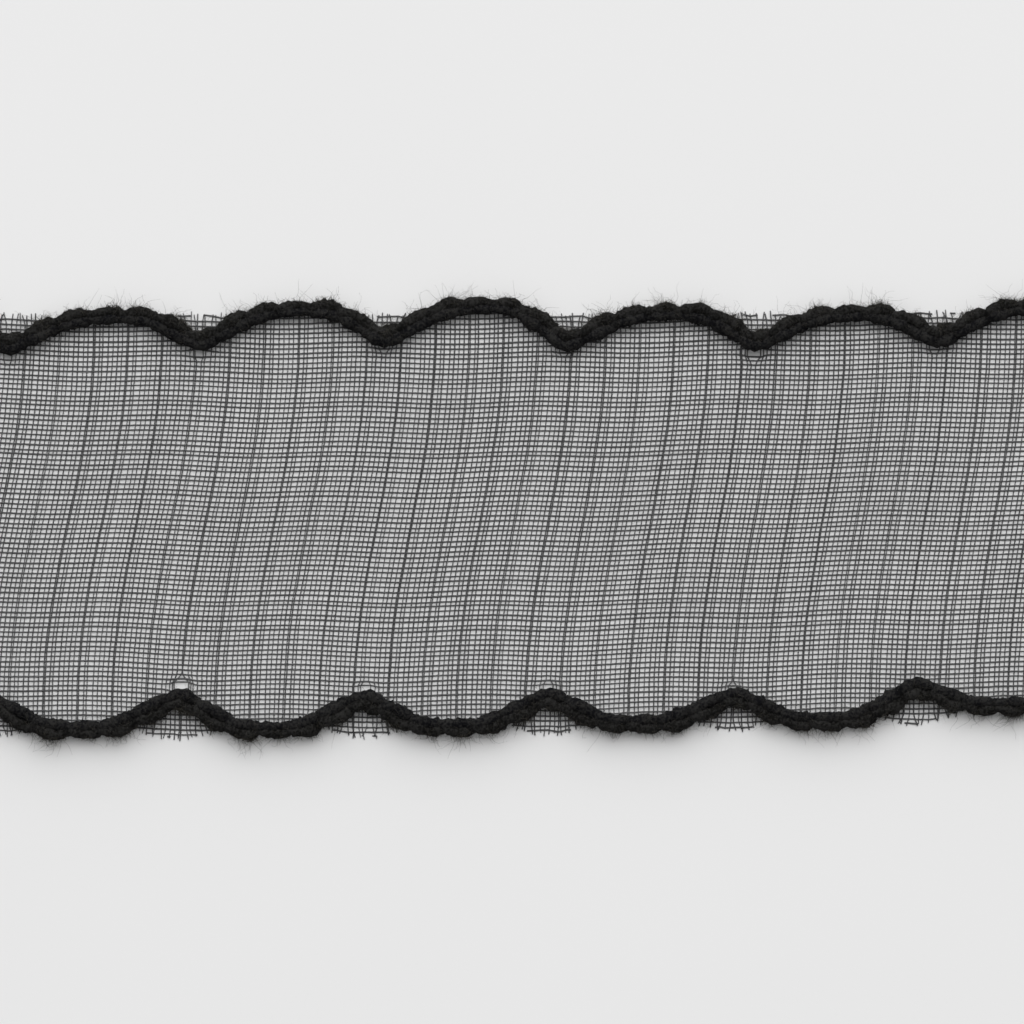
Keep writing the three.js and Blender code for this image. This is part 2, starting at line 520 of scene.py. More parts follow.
@dataclass(frozen=True)
class FuzzFinish:
    """Single loose fibres: black to grey-brown, each a little different."""

    dark: tuple[float, ...] = (0.012, 0.012, 0.011, 1)
    pale: tuple[float, ...] = (0.075, 0.068, 0.055, 1)
    patches_per_metre: float = 2500.0
    roughness: float = 0.8
    gleam: float = 0.2

    def build(self) -> bpy.types.Material:
        """Colour from soft patches that are smaller than the space between two fibres.

        Returns:
            The finished material.
        """
        nodes = Nodes("loose yarn fibre")
        colour = nodes.mix(nodes.noise(self.patches_per_metre, detail=1.0), self.dark, self.pale)
        inputs = {"Base Color": colour, "Roughness": self.roughness}
        return nodes.surface({**inputs, "Specular IOR Level": self.gleam})


@dataclass(frozen=True)
class PaperFinish:
    """Plain pale paper for the floor."""

    low: tuple[float, ...] = (0.79, 0.79, 0.79, 1)
    high: tuple[float, ...] = (0.81, 0.81, 0.81, 1)
    patches_per_metre: float = 30.0
    roughness: float = 0.9

    def build(self) -> bpy.types.Material:
        """An even pale surface with a very slight change of tone.

        Returns:
            The finished material.
        """
        nodes = Nodes("pale paper")
        colour = nodes.mix(nodes.noise(self.patches_per_metre), self.low, self.high)
        return nodes.surface({"Base Color": colour, "Roughness": self.roughness})


@dataclass
class Patch:
    """Faces with the same number of corners each, and the UV place of every corner."""

    faces: np.ndarray
    uv: np.ndarray

    def moved(self, first_point: int, low: float, high: float) -> "Patch":
        """The same faces on points that start later, in a band of the UV square.

        Args:
            first_point: Number of the point that the faces' point 0 becomes.
            low: Lower end of the band.
            high: Upper end of the band.

        Returns:
            The moved patch.
        """
        return Patch(self.faces + first_point, self.uv * [1, high - low] + [0, low])


@dataclass
class Piece:
    """One finished piece of the scene, with the solid that it dresses.

    The tint, where a piece has one, is a number from 0 to 1 at each point, for its material.
    """

    name: str
    points: np.ndarray
    patches: list[Patch]
    material: bpy.types.Material
    slot: Slot
    node: str
    tint: np.ndarray | None = None

    def build(self) -> bpy.types.Object:
        """Writes the mesh in metres without unused points, hangs it under the root body and hides the solid
        that it dresses.

        Returns:
            The new object, at the origin.
        """
        corners = np.concatenate([patch.faces.reshape(-1) for patch in self.patches])
        used, numbers = np.unique(corners, return_inverse=True)
        ends = np.cumsum([patch.faces.size for patch in self.patches])[:-1]
        parts = zip(self.patches, np.split(numbers, ends))
        faces = [row for patch, part in parts for row in part.reshape(patch.faces.shape).tolist()]
        mesh = bpy.data.meshes.new(self.name)
        mesh.from_pydata(self.points[used] * MILLIMETRE, [], faces)
        mesh.polygons.foreach_set("use_smooth", np.ones(len(faces), bool))
        uv = np.concatenate([patch.uv.reshape(-1) for patch in self.patches])
        mesh.uv_layers.new(name=UV_LAYER).data.foreach_set("uv", uv.astype(np.float32))
        if self.tint is not None:
            layer = mesh.attributes.new(TINT_LAYER, "FLOAT", "POINT")
            layer.data.foreach_set("value", self.tint[used].astype(np.float32))
        mesh.materials.append(self.material)
        mesh.update()
        piece = bpy.data.objects.new(self.name, mesh)
        bpy.context.scene.collection.objects.link(piece)
        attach(piece, "root")
        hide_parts(self.node)
        return piece


def tubes(keep: np.ndarray, sides: int) -> list[Patch]:
    """Closed faces of many tubes whose rings lie on a grid of tube by station.

    Two neighbouring rings that are both kept are joined by a band of four-sided faces. Where a kept run
    of rings starts or ends, one face closes it. In the UV square each tube has its own strip, with a
    margin to each side, and all closing faces share a small spot in the corner.

    Args:
        keep: Which rings exist, tubes by stations.
        sides: Number of points in a ring, in clockwise order as seen along the tube.

    Returns:
        The bands and the end faces.
    """
    count, stations = keep.shape
    ring = np.arange(count * stations).reshape(count, stations)
    corner = np.arange(sides)
    joined = keep[:, :-1] & keep[:, 1:]
    here = ring[:, :-1][joined][:, None] * sides
    first = here + corner
    second = here + (corner + 1) % sides
    bands = np.stack([first, second, second + sides, first + sides], -1).reshape(-1, 4)
    strip, station = np.nonzero(joined)
    used = 1 - 2 * UV_MARGIN
    low = (strip[:, None] + UV_MARGIN + used * corner / sides) / count
    high = low + used / sides / count
    left = np.broadcast_to((station / (stations - 1))[:, None], low.shape)
    right = left + 1 / (stations - 1)
    band_uv = np.stack([left, low, left, high, right, high, right, low], -1).reshape(-1, 4, 2)
    before = np.pad(keep, ((0, 0), (1, 0)))[:, :-1]
    after = np.pad(keep, ((0, 0), (0, 1)))[:, 1:]
    starts = ring[keep & ~before & after][:, None] * sides + corner[::-1]
    ends = ring[keep & ~after & before][:, None] * sides + corner
    angle = 2 * np.pi * corner / sides
    spot = CAP_PLACE + CAP_RADIUS * np.stack([np.cos(angle), np.sin(angle)], -1)
    caps = np.concatenate([starts, ends])
    return [Patch(bands, band_uv), Patch(caps, np.broadcast_to(spot, (len(caps), sides, 2)))]


def square_frame(path: np.ndarray) -> tuple[np.ndarray, np.ndarray]:
    """Directions square to a path's run: a level one to its left and an upright one.

    The first is the run's level part turned a quarter to the left, and the second the cross product of
    the run and the first.

    Args:
        path: Points along paths, with the last two axes point and coordinate.

    Returns:
        Unit vectors to the left and upward, of the same shape.
    """
    run = np.gradient(path, axis=-2)
    run /= np.linalg.norm(run, axis=-1, keepdims=True)
    left = np.stack([-run[..., 1], run[..., 0], np.zeros_like(run[..., 0])], -1)
    left /= np.linalg.norm(left, axis=-1, keepdims=True) + TINY
    return left, np.cross(run, left)


@dataclass(frozen=True)
class ThreadPlan:
    """How one set of threads is laid out: where its threads go and how wide they are.

    The gaps lie between the middles of neighbouring threads and repeat group by group, from the start
    and as far as the reach to each side of 0. The error is how far a thread usually lies off its place.
    A thread's width is the usual width times its strength, which repeats too, and times a number drawn
    from the spread.
    """

    gaps: tuple[float, ...]
    start: float
    reach: float
    error: float
    seed: int
    width: float
    spread: tuple[float, float]
    strength: tuple[float, ...] = (1.0,)

    def places(self) -> np.ndarray:
        """The threads' places: the running sum of the gaps in each group, with each thread's error.

        Returns:
            The places in order.
        """
        group = sum(self.gaps)
        count = int(np.ceil(self.reach / group))
        firsts = self.start + group * np.arange(-count, count)
        places = (firsts[:, None] + np.cumsum((0, *self.gaps[:-1]))).reshape(-1)
        return places + np.random.default_rng(self.seed).normal(0, self.error, len(places))

    def widths(self, draw: np.random.Generator, count: int) -> np.ndarray:
        """The threads' widths.

        Args:
            draw: Source of the random numbers.
            count: Number of threads.

        Returns:
            One width for each thread.
        """
        strength = np.resize(self.strength, count) * draw.uniform(*self.spread, count)
        return self.width * strength


CROSSWISE = ThreadPlan(
    gaps=(0.09, 0.28, 0.195, 0.335, 0.27, 0.275, 0.265, 0.262),
    start=0.1,
    reach=RIBBON_END + LEAN_ROOM,
    error=0.013,
    seed=19,
    width=0.062,
    spread=(0.8, 1.2),
)
LENGTHWISE = ThreadPlan(
    gaps=(0.281, 0.295, 0.276, 0.264, 0.304),
    start=0.0,
    reach=12.9,
    error=0.009,
    seed=16,
    width=0.092,
    spread=(0.93, 1.07),
    strength=(1.06, 1.04, 0.84, 1.02, 0.96),
)


@dataclass(frozen=True)
class Wobble:
    """Unevenness over the cloth, of one size, one usual wave length and one seed."""

    size: float
    length: float
    seed: int

    def plane(self, x: np.ndarray, y: np.ndarray) -> np.ndarray:
        """The unevenness at places on the cloth."""
        return self.size * Waves(self.seed, self.length).plane(x, y)


@dataclass
class ThreadSet:
    """One set of threads of the weave, crossing by crossing.

    The path holds threads by crossings by three coordinates, and inside holds how far each crossing
    lies within the cloth's cut edges. Each thread has its width, and all have the same height.
    """

    path: np.ndarray
    inside: np.ndarray
    width: np.ndarray
    height: float

    def __post_init__(self) -> None:
        """Cuts the threads at the cloth's cut edges.

        The first crossing outside moves back onto the cut, by the share of the step at which the inward
        distance reaches zero. Crossings further out are dropped.
        """
        self.keep = self.inside > 0
        for shift in (1, -1):
            before = np.roll(self.inside, shift, axis=1)
            cut = (before > 0) & (self.inside <= 0)
            part = before[cut] / (before[cut] - self.inside[cut])
            start = np.roll(self.path, shift, axis=1)[cut]
            self.path[cut] = start + part[:, None] * (self.path[cut] - start)
            self.keep |= cut

    def rings(self, own: tuple[slice, slice]) -> tuple[np.ndarray, list[Patch]]:
        """Three-cornered rings at part of the crossings, and the faces between them.

        A ring has one corner on top, half the thread's height up, and two corners below, half the height
        down and half the thread's width to each side.

        Args:
            own: Which threads and which crossings are wanted.

        Returns:
            The points and their faces.
        """
        left, up = square_frame(self.path)
        across = np.array([0, -1, 1])[:, None] * self.width[:, None, None, None] / 2
        tall = np.array([1, -1, -1])[:, None] * self.height / 2
        points = self.path[..., None, :] + left[..., None, :] * across + up[..., None, :] * tall
        return points[own].reshape(-1, 3), tubes(self.keep[own], 3)


@dataclass
class Organza:
    """The sheer cloth: a plain weave of single threads with the photo's lean, waves, holes and raw edges."""

    upper: Edge
    lower: Edge

    # Heights: a thread's, the free space where two cross, and the cloth's middle between the edges and
    # at the yarn, with the distance from the yarn over which it rises
    thread_height: float = 0.052
    crossing_gap: float = 0.004
    middle_height: float = 0.085
    edge_height: float = 0.2
    lift_reach: float = 0.7
    height_swell: Wobble = Wobble(0.01, 9.0, seed=17)

    # Lean of the crosswise threads: its slope at the middle, the slope's change along the ribbon, the
    # distance from the middle at which it ends, the power of its cosine, and the steps of its sum
    lean: float = 0.196
    lean_change: float = -0.0007
    lean_reach: float = 12.2
    lean_power: float = 1.4
    lean_steps: int = 400

    # Waves of the lengthwise threads: how the pull of an edge changes with each millimetre towards it,
    # and one slow wave with its lowest place along the ribbon
    wave_change: float = 0.03
    slow_wave: float = 0.2
    slow_wave_length: float = 75.0
    slow_wave_low: float = -6.4

    # Unevenness of the threads' courses, and how much faster it changes from thread to thread than
    # along a thread
    slow_stretch: float = 2.5
    fine_stretch: float = 9.0
    slow_along: Wobble = Wobble(0.02, 3.5, seed=13)
    fine_along: Wobble = Wobble(0.008, 0.9, seed=14)
    slow_across: Wobble = Wobble(0.012, 4.0, seed=15)
    fine_across: Wobble = Wobble(0.006, 0.9, seed=16)

    # Needle holes: how far inside the yarn's course they lie, the lengthwise threads' share of the push,
    # its reach along a crosswise thread as a multiple of the hole, the distance in which it halves from
    # thread to thread, and its reach along a lengthwise thread
    hole_inside: float = 0.45
    hole_roundness: float = 0.55
    hole_reach: float = 1.5
    hole_fade: float = 0.3
    hole_bell: float = 0.55

    # Cut threads: the longest stub at a raw edge, the unevenness at the ribbon's ends, the wander of the
    # last lengthwise threads, and how far outside its course the yarn covers them, with the change there
    stub: float = 0.22
    end_fray: float = 0.3
    raw_wander: Wobble = Wobble(0.17, 1.5, seed=20)
    yarn_cover: float = 0.42
    cover_fade: float = 0.2

    # Bending of the threads from a little inside the raw edge outward: its greatest reach, the usual
    # slope of a thread's end, the slope of the fan and the wave. Then the wobble near the yarn
    fray_inside: float = 0.45
    fray_reach: float = 0.9
    fray_lean: float = 0.22
    fray_fan: float = 0.15
    fray_bend: Wobble = Wobble(0.22, 1.1, seed=21)
    near_reach: float = 0.9
    near_along: Wobble = Wobble(0.035, 1.0, seed=23)
    near_across: Wobble = Wobble(0.035, 1.0, seed=24)

    # Panels: their number, the flat width between the raw edges, and the crosswise threads' UV share
    panels: int = 3
    flat_width: float = 24.2
    crosswise_uv: float = 0.6

    # Seeds of the widths, the cut ends and the bent ends
    width_seed: int = 12
    cut_seed: int = 18
    fray_seed: int = 19

    def leaned(self, across: np.ndarray | float) -> np.ndarray:
        """How far a crosswise thread has leaned at a place across, where its steepest lean is 1 to 1.

        The lean follows the cosine of the distance from the ribbon's middle, to a power, and this is
        its running sum from the middle line.

        Args:
            across: Places across the ribbon.

        Returns:
            Distances along the ribbon.
        """
        grid = np.linspace(-self.lean_reach, self.lean_reach, self.lean_steps)
        lean = np.maximum(np.cos(grid / self.lean_reach * np.pi / 2), 0) ** self.lean_power
        total = np.cumsum(lean) * (grid[1] - grid[0])
        return np.interp(across, grid, total - np.interp(0, grid, total))

    def pull(self, edge: Edge, u: np.ndarray, v: np.ndarray, lean: np.ndarray) -> np.ndarray:
        """How far the valleys of an edge draw the lengthwise threads across the ribbon.

        It is a cosine with its peaks where the leaned crosswise threads reach the valleys, and it grows
        evenly towards the edge.

        Args:
            edge: The edge.
            u: Place along the ribbon at which each crosswise thread crosses the middle line.
            v: Place across the ribbon.
            lean: Steepest lean of each crosswise thread.

        Returns:
            Distances along Y.
        """
        side = edge.side.value
        foot = u + lean * self.leaned(side * edge.valley_out.mean())
        growth = 1 + side * self.wave_change * v
        return side * edge.valley_pull * growth * np.cos(2 * np.pi * edge.share(foot))

    def crossings(self) -> tuple[np.ndarray, np.ndarray]:
        """Where each crosswise thread crosses each lengthwise thread.

        A crossing starts on the grid of the two thread plans. It is moved along by the lean, across by
        the waves that the valleys of both edges draw, both ways by unevenness, and away from the needle
        hole of each valley.

        Returns:
            X and Y of the crossings, crosswise by lengthwise threads.
        """
        u, v = np.meshgrid(CROSSWISE.places(), LENGTHWISE.places(), indexing="ij")
        lean = self.lean + self.lean_change * u
        slow = self.slow_along.plane(u * self.slow_stretch, v)
        fine = self.fine_along.plane(u * self.fine_stretch, v)
        x = u + lean * self.leaned(v) + (slow + fine)
        turn = 2 * np.pi * (x - self.slow_wave_low) / self.slow_wave_length
        wave = -self.slow_wave * np.cos(turn) * (1 - self.wave_change * v)
        slow = self.slow_across.plane(u, v * self.slow_stretch)
        fine = self.fine_across.plane(u, v * self.fine_stretch)
        y = v + self.pull(self.upper, u, v, lean) + self.pull(self.lower, u, v, lean) + wave + (slow + fine)
        for edge in (self.upper, self.lower):
            x, y = self.opened(x, y, edge)
        return x, y

    def opened(self, x: np.ndarray, y: np.ndarray, edge: Edge) -> tuple[np.ndarray, np.ndarray]:
        """Pushes the threads apart at the needle hole inside each valley of an edge.

        A hole sits between two crosswise and two lengthwise threads. The push on a crosswise thread fades
        by halves with its distance from the hole. Along the thread it is (1 - q^2) exp(-q^2), q being
        the distance in hole reaches, so that the threads close up again behind the hole. The push on a
        lengthwise thread is a plain bell along it.

        Args:
            x: X of the crossings.
            y: Y of the crossings.
            edge: The edge whose valleys have the holes.

        Returns:
            X and Y after the push.
        """
        for scallop in edge.scallops:
            middle = edge.side.value * (scallop.valley_out - self.hole_inside)
            centre_x = (x[:-1, :-1] + x[1:, 1:]) / 2
            centre_y = (y[:-1, :-1] + y[1:, 1:]) / 2
            away = np.hypot(centre_x - scallop.valley, centre_y - middle)
            row, column = np.unravel_index(np.argmin(away), away.shape)
            if not (0 < row < len(x) - 2):
                continue
            right = np.where(np.arange(x.shape[0]) > row, 1, -1)[:, None]
            above = np.where(np.arange(x.shape[1]) > column, 1, -1)[None, :]
            along = np.abs(x - centre_x[row, column])
            across = np.abs(y - centre_y[row, column])
            close = across / (self.hole_reach * scallop.hole)
            push_x = scallop.hole * 0.5 ** (along / self.hole_fade) * (1 - close**2) * np.exp(-(close**2))
            bell = np.exp(-((along / self.hole_bell) ** 2))
            push_y = self.hole_roundness * scallop.hole * 0.5 ** (across / self.hole_fade) * bell
            x = x + right * push_x
            y = y + above * push_y
        return x, y

    def near_yarn(self, x: np.ndarray, y: np.ndarray) -> np.ndarray:
        """Distance of each place from the nearer yarn course, measured across the ribbon."""
        return np.minimum(np.abs(self.upper.yarn_out(x) - y), np.abs(self.lower.yarn_out(x) + y))

    def height(self, x: np.ndarray, y: np.ndarray) -> np.ndarray:
        """Height of the cloth's middle over the surface.

        It lies low between the edges, and rises towards each yarn course by a bell of the distance.

        Args:
            x: Places along the ribbon.
            y: Places across it.

        Returns:
            Heights.
        """
        lift = np.exp(-((self.near_yarn(x, y) / self.lift_reach) ** 2))
        swell = self.height_swell.plane(x, y)
        return self.middle_height + swell + (self.edge_height - self.middle_height) * lift

    def cut(self, x: np.ndarray, y: np.ndarray) -> tuple[np.ndarray, np.ndarray]:
        """How far each crossing lies inside the cut edges, for both sets of threads.

        Outside the raw edge the crosswise threads end in stubs, each of its own length, and the last
        lengthwise threads come and go. Where the yarn covers the raw edge, both end evenly under it.

        Args:
            x: X of the crossings.
            y: Y of the crossings.

        Returns:
            Inward distances for the crosswise and for the lengthwise threads.
        """
        draw = np.random.default_rng(self.cut_seed)
        stubs = draw.uniform(0, self.stub, (2, len(x), 1))
        wander = self.raw_wander.plane(x, self.fine_stretch * y)
        crosswise = RIBBON_END - self.end_fray - np.abs(x)
        lengthwise = RIBBON_END - draw.uniform(0, self.end_fray, x.shape[1]) - np.abs(x)
        for edge, stub in zip((self.upper, self.lower), stubs):
            out = edge.side.value * y
            raw = edge.raw_edge(x)
            cover = edge.yarn_out(x) + self.yarn_cover
            open_share = np.clip((raw - cover) / self.cover_fade, 0, 1)
            hidden = np.minimum(raw, cover) * (1 - open_share)
            crosswise = np.minimum(crosswise, hidden + open_share * (raw + stub) - out)
            lengthwise = np.minimum(lengthwise, hidden + open_share * (raw + wander) - out)
        return crosswise, lengthwise

    def frayed(self, x: np.ndarray, y: np.ndarray) -> tuple[np.ndarray, np.ndarray]:
        """Bends the threads that lie near or outside the raw edges.

        There a crosswise thread leans by its own slope, and by a sine that fans the threads out from the
        middle of each valley. The lengthwise threads wave. Near the yarn both wobble a little.

        Args:
            x: X of the crossings.
            y: Y of the crossings.

        Returns:
            X and Y after the bending.
        """
        draw = np.random.default_rng(self.fray_seed)
        lean = draw.normal(0, self.fray_lean, (len(x), 1))
        for edge in (self.upper, self.lower):
            beyond = edge.side.value * y - edge.raw_edge(x) + self.fray_inside
            outside = np.clip(beyond, 0, self.fray_reach)
            fan = np.sin(2 * np.pi * edge.share(x))
            x = x + outside * (lean + self.fray_fan * fan)
            y = y + outside * self.fray_bend.plane(x, self.fine_stretch * y)
        near = np.exp(-((self.near_yarn(x, y) / self.near_reach) ** 2))
        x = x + near * self.near_along.plane(x, y)
        y = y + near * self.near_across.plane(x, y)
        return x, y

    def weave(self) -> tuple[ThreadSet, ThreadSet]:
        """Lays both sets of threads, each passing over and under the other in turn.

        Returns:
            The crosswise and the lengthwise threads.
        """
        x, y = self.frayed(*self.crossings())
        draw = np.random.default_rng(self.width_seed)
        over = np.add.outer(np.arange(x.shape[0]), np.arange(x.shape[1])) % 2 * 2 - 1
        rise = over * (self.thread_height / 2 + self.crossing_gap / 2)
        middle = self.height(x, y)
        inside_crosswise, inside_lengthwise = self.cut(x, y)
        width = CROSSWISE.widths(draw, x.shape[0])
        path = np.stack([x, y, middle - rise], -1)
        crosswise = ThreadSet(path, inside_crosswise, width, self.thread_height)
        width = LENGTHWISE.widths(draw, x.shape[1])
        path = np.stack([x, y, middle + rise], -1).swapaxes(0, 1).copy()
        lengthwise = ThreadSet(path, inside_lengthwise.T, width, self.thread_height)
        return crosswise, lengthwise

    def build(self, material: bpy.types.Material) -> list[bpy.types.Object]:
        """Makes the panels, each a sheet with its crosswise threads and the lengthwise threads between.

        Args:
            material: Finish of the threads.

        Returns:
            The panels, from left to right.
        """
        crosswise, lengthwise = self.weave()
        rows = np.nonzero(crosswise.keep.any(1) | lengthwise.keep.any(0))[0]
        cuts = np.linspace(rows[0], rows[-1] + 1, self.panels + 1).round().astype(int)
        panels = []
        for number, (first, last) in enumerate(zip(cuts[:-1], cuts[1:]), 1):
            cross_points, cross_patches = crosswise.rings((slice(first, last), slice(None)))
            run_points, run_patches = lengthwise.rings((slice(None), slice(first, last + 1)))
            patches = [patch.moved(0, 0.0, self.crosswise_uv) for patch in cross_patches]
            patches += [patch.moved(len(cross_points), self.crosswise_uv, 1.0) for patch in run_patches]
            piece = Piece(
                name=f"organza_panel_{number}",
                points=np.concatenate([cross_points, run_points]),
                patches=patches,
                material=material,
                slot=Slot.ORGANZA,
                node="organza_strip",
            ).build()
            panels.append(piece)
        return panels


@dataclass(frozen=True)
class LinkPoint:
    """A place that one chain link's yarn passes.

    It lies along the edge by a part of a link, outward by a share of the link's bulge, at a height, and
    the yarn has this radius there.
    """

    along: float
    outward: float
    height: float
    radius: float


LINK_COURSE = (
    LinkPoint(along=0.00, outward=0.10, height=0.32, radius=0.165),
    LinkPoint(along=0.06, outward=0.20, height=0.58, radius=0.225),
    LinkPoint(along=0.22, outward=0.55, height=0.88, radius=0.275),
    LinkPoint(along=0.46, outward=0.95, height=0.72, radius=0.305),
    LinkPoint(along=0.70, outward=1.15, height=0.58, radius=0.315),
    LinkPoint(along=0.93, outward=0.90, height=0.53, radius=0.295),
    LinkPoint(along=1.09, outward=0.32, height=0.51, radius=0.255),
    LinkPoint(along=1.14, outward=-0.15, height=0.50, radius=0.245),
    LinkPoint(along=1.09, outward=-0.75, height=0.51, radius=0.28),
    LinkPoint(along=0.93, outward=-0.98, height=0.54, radius=0.305),
    LinkPoint(along=0.70, outward=-1.04, height=0.58, radius=0.315),
    LinkPoint(along=0.46, outward=-1.02, height=0.72, radius=0.315),
    LinkPoint(along=0.22, outward=-0.92, height=0.86, radius=0.295),
    LinkPoint(along=0.06, outward=-0.85, height=0.56, radius=0.235),
    LinkPoint(along=0.00, outward=-0.80, height=0.32, radius=0.165),
    LinkPoint(along=0.14, outward=-0.90, height=0.13, radius=0.12),
    LinkPoint(along=0.50, outward=-0.95, height=0.12, radius=0.12),
    LinkPoint(along=0.86, outward=-0.50, height=0.13, radius=0.12),
)


@dataclass
class YarnChain:
    """The chain of thick soft yarn sewn along one edge.

    The bulges say how far a link's yarn stands off the edge's course on each side. Where the course
    climbs or falls, the chain is wider by slope_spread and its yarn thicker by slope_thickness, each
    times the slope. The last link starts at least link_reach links before the ribbon's end. The errors
    are those of single points of a link, and the ranges those of whole links. The step is the distance
    between two stations along the yarn, and the twist the length of one turn of its two plies. The
    depths of plies, lumps and ripples are shares of the radius. No point lies lower than the lowest.
    In the UV square the yarn lies in rows of uv_row stations.
    """

    edge: Edge
    seed: int
    outward_bulge: float
    inward_bulge: float
    slope_spread: float = 0.6
    slope_thickness: float = 0.35
    link_reach: float = 1.25
    along_error: float = 0.018
    outward_error: float = 0.014
    height_error: float = 0.02
    bulge_range: tuple[float, float] = (0.86, 1.14)
    radius_range: tuple[float, float] = (0.94, 1.06)
    sides: int = 12
    step: float = 0.1
    arc_pieces: int = 6
    twist: float = 1.5
    ply_depth: float = 0.03
    lump_depth: float = 0.16
    lump_length: float = 1.3
    ripple_depth: float = 0.4
    ripple_length: float = 0.42
    ripple_waves: int = 18
    lowest: float = 0.004
    uv_row: int = 192

    def course(self) -> np.ndarray:
        """The yarn's middle line through every link of the chain.

        The first link starts halfway between two whole links, just inside the ribbon's end. The
        table's points are set out link by link, moved beside the edge's course, and joined by cubic
        arcs whose slope at a point is half the step between its two neighbours. The arcs are then
        divided into even steps.

        Returns:
            For each station its X, Y, height, radius and outward share.
        """
        draw = np.random.default_rng(self.seed)
        low, high = self.edge.share(np.array([-RIBBON_END, RIBBON_END])) * self.edge.links_per_scallop
        links = np.arange(np.ceil(low + 0.5) - 0.5, high - self.link_reach)
        table = np.array([[point.along, point.outward, point.height, point.radius] for point in LINK_COURSE])
        shape = (len(links), len(table))
        along = links[:, None] + table[:, 0] + draw.normal(0, self.along_error, shape)
        bulge = np.where(table[:, 1] > 0, self.outward_bulge, self.inward_bulge)
        bulge = bulge * draw.uniform(*self.bulge_range, (len(links), 1))
        outward = table[:, 1] * bulge + draw.normal(0, self.outward_error, shape)
        height = table[:, 2] + draw.normal(0, self.height_error, shape)
        radius = table[:, 3] * draw.uniform(*self.radius_range, (len(links), 1))
        steepness = np.abs(self.edge.slope(along))
        outward *= 1 + self.slope_spread * steepness
        radius *= 1 + self.slope_thickness * steepness
        x, y = self.edge.beside(along.reshape(-1), outward.reshape(-1))
        share = np.broadcast_to(table[:, 1] / 2 + 0.5, shape)
        knots = np.stack([x, y, height.reshape(-1), radius.reshape(-1), share.reshape(-1)], -1)
        return self.even(self.arcs(knots))

    def arcs(self, knots: np.ndarray) -> np.ndarray:
        """Cubic arcs through the given rows.

        Args:
            knots: Rows to pass.

        Returns:
            The rows of the arcs.
        """
        slope = np.gradient(knots, axis=0)
        part = np.linspace(0, 1, self.arc_pieces, endpoint=False)[:, None]
        start, end = knots[:-1, None], knots[1:, None]
        start_slope, end_slope = slope[:-1, None], slope[1:, None]
        rows = (
            (2 * part**3 - 3 * part**2 + 1) * start
            + (part**3 - 2 * part**2 + part) * start_slope
            + (3 * part**2 - 2 * part**3) * end
            + (part**3 - part**2) * end_slope
        )
        return rows.reshape(-1, knots.shape[1])

    def even(self, rows: np.ndarray) -> np.ndarray:
        """The same course in even steps along the yarn.

        Args:
            rows: Rows of the course, each with its place in the first three columns.

        Returns:
            Rows that lie one step apart.
        """
        steps = np.linalg.norm(np.diff(rows[:, :3], axis=0, prepend=rows[:1, :3]), axis=1)
        length = np.cumsum(steps)
        stations = np.arange(0, length[-1], self.step)
        return np.stack([np.interp(stations, length, column) for column in rows.T], -1)

    def surface(self) -> tuple[np.ndarray, np.ndarray, np.ndarray]:
        """The rings of points round the yarn.

        The radius swells by a two-lobed twist, by slow lumps along the yarn and by ripples over its surface.

        Returns:
            Points and unit outward directions, stations by sides by three, and each station's outward share.
        """
        rows = self.course()
        path, radius, share = rows[:, :3], rows[:, 3], rows[:, 4]
        left, up = square_frame(path)
        length = self.step * np.arange(len(path))[:, None]
        angle = 2 * np.pi * np.arange(self.sides) / self.sides
        facing = left[:, None] * np.cos(angle)[:, None] + up[:, None] * np.sin(angle)[:, None]
        ply = self.ply_depth * np.cos(2 * (angle - 2 * np.pi * length / self.twist))
        lump = self.lump_depth * Waves(self.seed + 1, self.lump_length).line(length)
        ripples = Waves(self.seed + 2, self.ripple_length, self.ripple_waves)
        ripple = self.ripple_depth * ripples.strand(length, angle)
        points = path[:, None] + facing * (radius[:, None] * (1 + ply + lump + ripple))[..., None]
        points[..., 2] = np.maximum(points[..., 2], self.lowest)
        return points, facing, share

    def build(self, material: bpy.types.Material) -> bpy.types.Object:
        """Makes the chain of yarn.

        Args:
            material: Finish of the yarn.

        Returns:
            The chain.
        """
        points, _, share = self.surface()
        stations = len(points)
        bands, caps = tubes(np.ones((1, stations), bool), self.sides)
        station = bands.uv[..., 0] * (stations - 1)
        row = np.floor(station.min(-1, keepdims=True) / self.uv_row)
        rows = np.ceil(stations / self.uv_row)
        bands.uv = np.stack([station / self.uv_row - row, (bands.uv[..., 1] + row) / rows], -1)
        return Piece(
            name=f"{self.edge.side.word}_yarn_chain",
            points=points.reshape(-1, 3),
            patches=[bands, caps],
            material=material,
            slot=Slot.YARN,
            node=self.edge.side.node,
            tint=np.repeat(share, self.sides),
        ).build()


